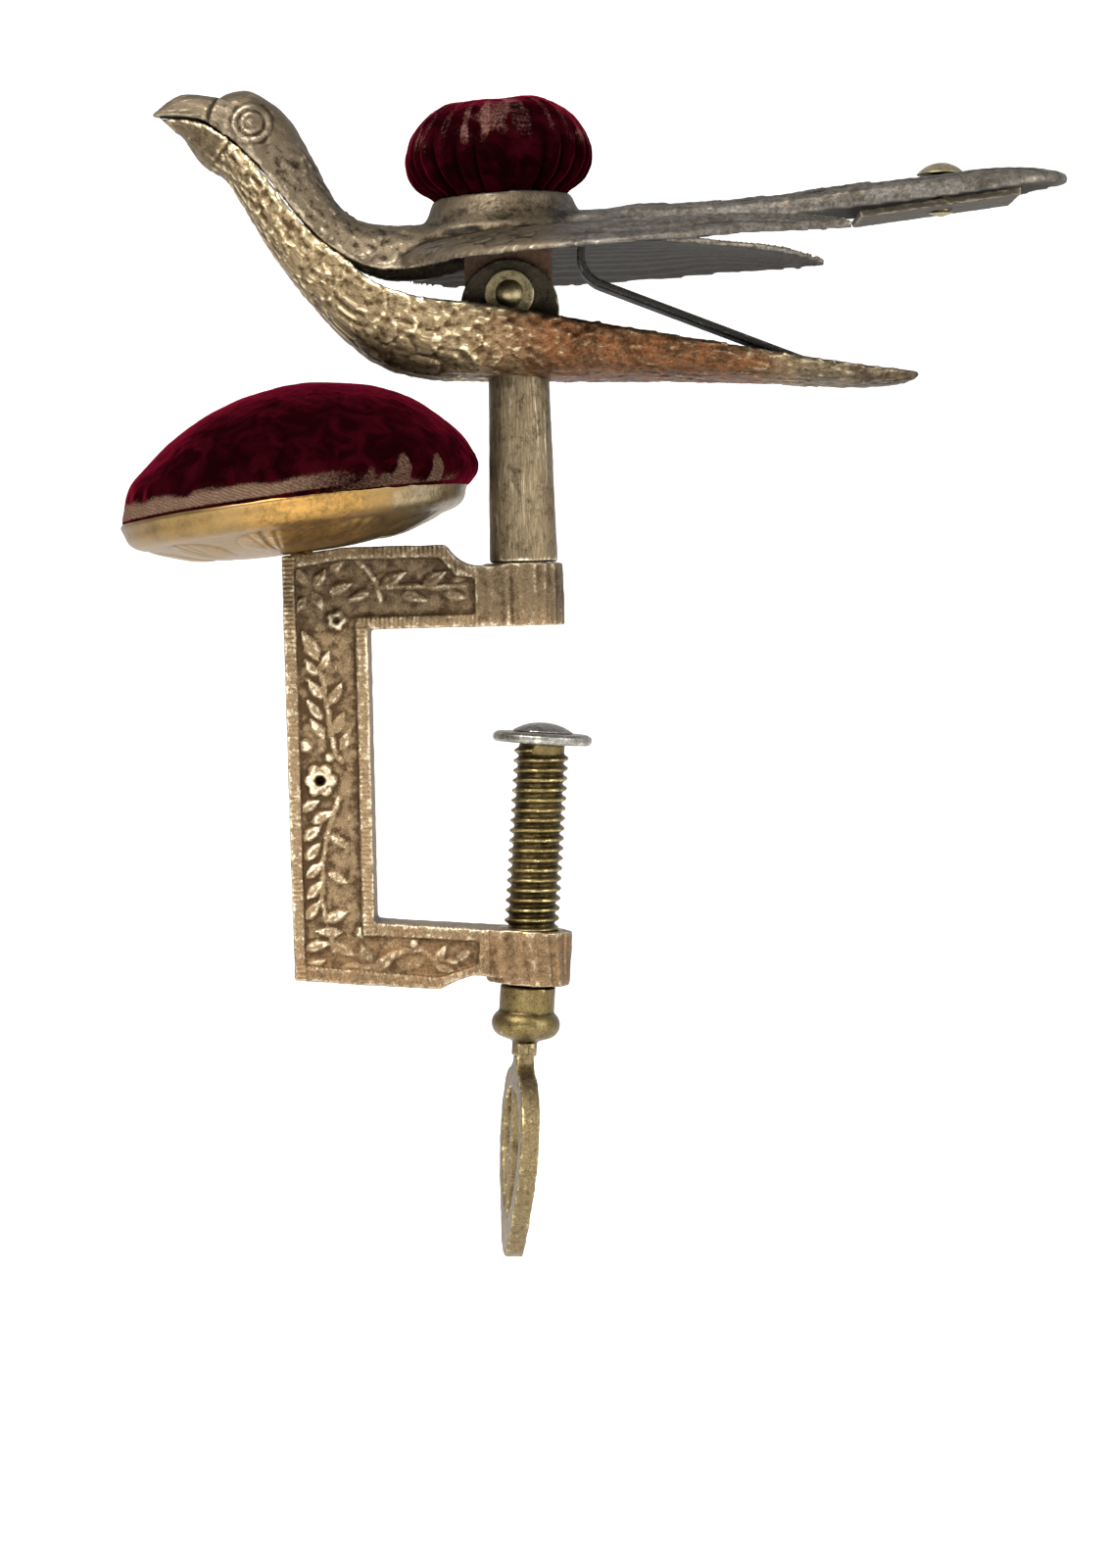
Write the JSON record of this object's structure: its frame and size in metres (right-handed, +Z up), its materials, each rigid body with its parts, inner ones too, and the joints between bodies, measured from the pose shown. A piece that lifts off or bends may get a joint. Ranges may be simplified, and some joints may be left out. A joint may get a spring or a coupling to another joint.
{
  "type": "sewing bird clamp",
  "caption": "Table clamp with a hinged metal bird that grips cloth in its sprung beak, and velvet pincushions in a cup and on its back.",
  "frame": {"origin": "on the post's axis, in the flat jaw face under the upper arm, where the clamp bears on the table top", "axes": "+Z up along the post, +X towards the bird's tail, so the beak points to -X; +Y completes the right-handed frame, and the object is symmetric about the XZ plane"},
  "size_m": [0.0981, 0.042, 0.1203],
  "materials": {
    "cast_brass": "worn antique casting",
    "post_brass": "worn silvered brass",
    "stamped_gilt": "stamped sheet with worn gilding",
    "stamped_pewter": "stamped sheet, dark grey-brown patina",
    "hinge_steel": "dark, oily",
    "rusty_plate": "orange-brown rust bloom",
    "spring_steel": "blued, nearly black",
    "button_brass": "polished by thumbs",
    "cup_brass": "polished band, pinkish underside",
    "velvet": "dark maroon pile, worn to the weave in places",
    "stuffing": "packed wool",
    "card": "pasteboard",
    "thread": "waxed thread",
    "screw_brass": "olive brass, red-brown in the thread",
    "loop_brass": "cast, worn yellow on its edge",
    "pad_steel": "grey, polished on the face"
  },
  "bodies": {
    "clamp": {"clamp_frame": "cast_brass", "post": "post_brass", "lower_shell": "stamped_gilt", "hinge_yoke": "hinge_steel", "hinge_pin": "hinge_steel", "pin_washers": "hinge_steel", "pincushion_cup": "cup_brass", "cup_rivet": "cup_brass", "large_cushion_velvet": "velvet", "large_cushion_stuffing": "stuffing", "large_cushion_card": "card"},
    "bird_upper": {"upper_shell": "stamped_pewter", "hinge_bracket": "rusty_plate", "leaf_spring": "spring_steel", "spring_rivet": "spring_steel", "tail_plate": "stamped_pewter", "tail_button": "button_brass", "back_cushion_velvet": "velvet", "back_cushion_stuffing": "stuffing", "back_cushion_card": "card", "gathering_thread": "thread"},
    "pad": {"screw_pad": "pad_steel"},
    "screw": {"clamp_screw": "screw_brass", "pad_rivet": "pad_steel", "thumb_loop": "loop_brass"}
  },
  "joints": [
    {"name": "beak_hinge", "type": "hinge", "parent": "clamp", "child": "bird_upper", "pos_m": [-0.0007, 0, 0.0335], "axis": [0, 1, 0], "range_deg": [0, 15], "stiffness_Nm_per_rad": 0.5, "springref_deg": -20.05, "deforming": ["leaf_spring"]},
    {"name": "pad_travel", "type": "slide", "parent": "clamp", "child": "pad", "axis": [0.0837, 0, 0.9965], "range_m": [-0.017, 0.00207]},
    {"name": "screw_turn", "type": "hinge", "parent": "pad", "child": "screw", "pos_m": [0, 0, -0.029], "axis": [0.0837, 0, 0.9965], "range_deg": [-5945, 725]}
  ],
  "couplings": [
    {"joint": "screw_turn", "follows": "pad_travel", "rad_per_m": 6100.2}
  ]
}
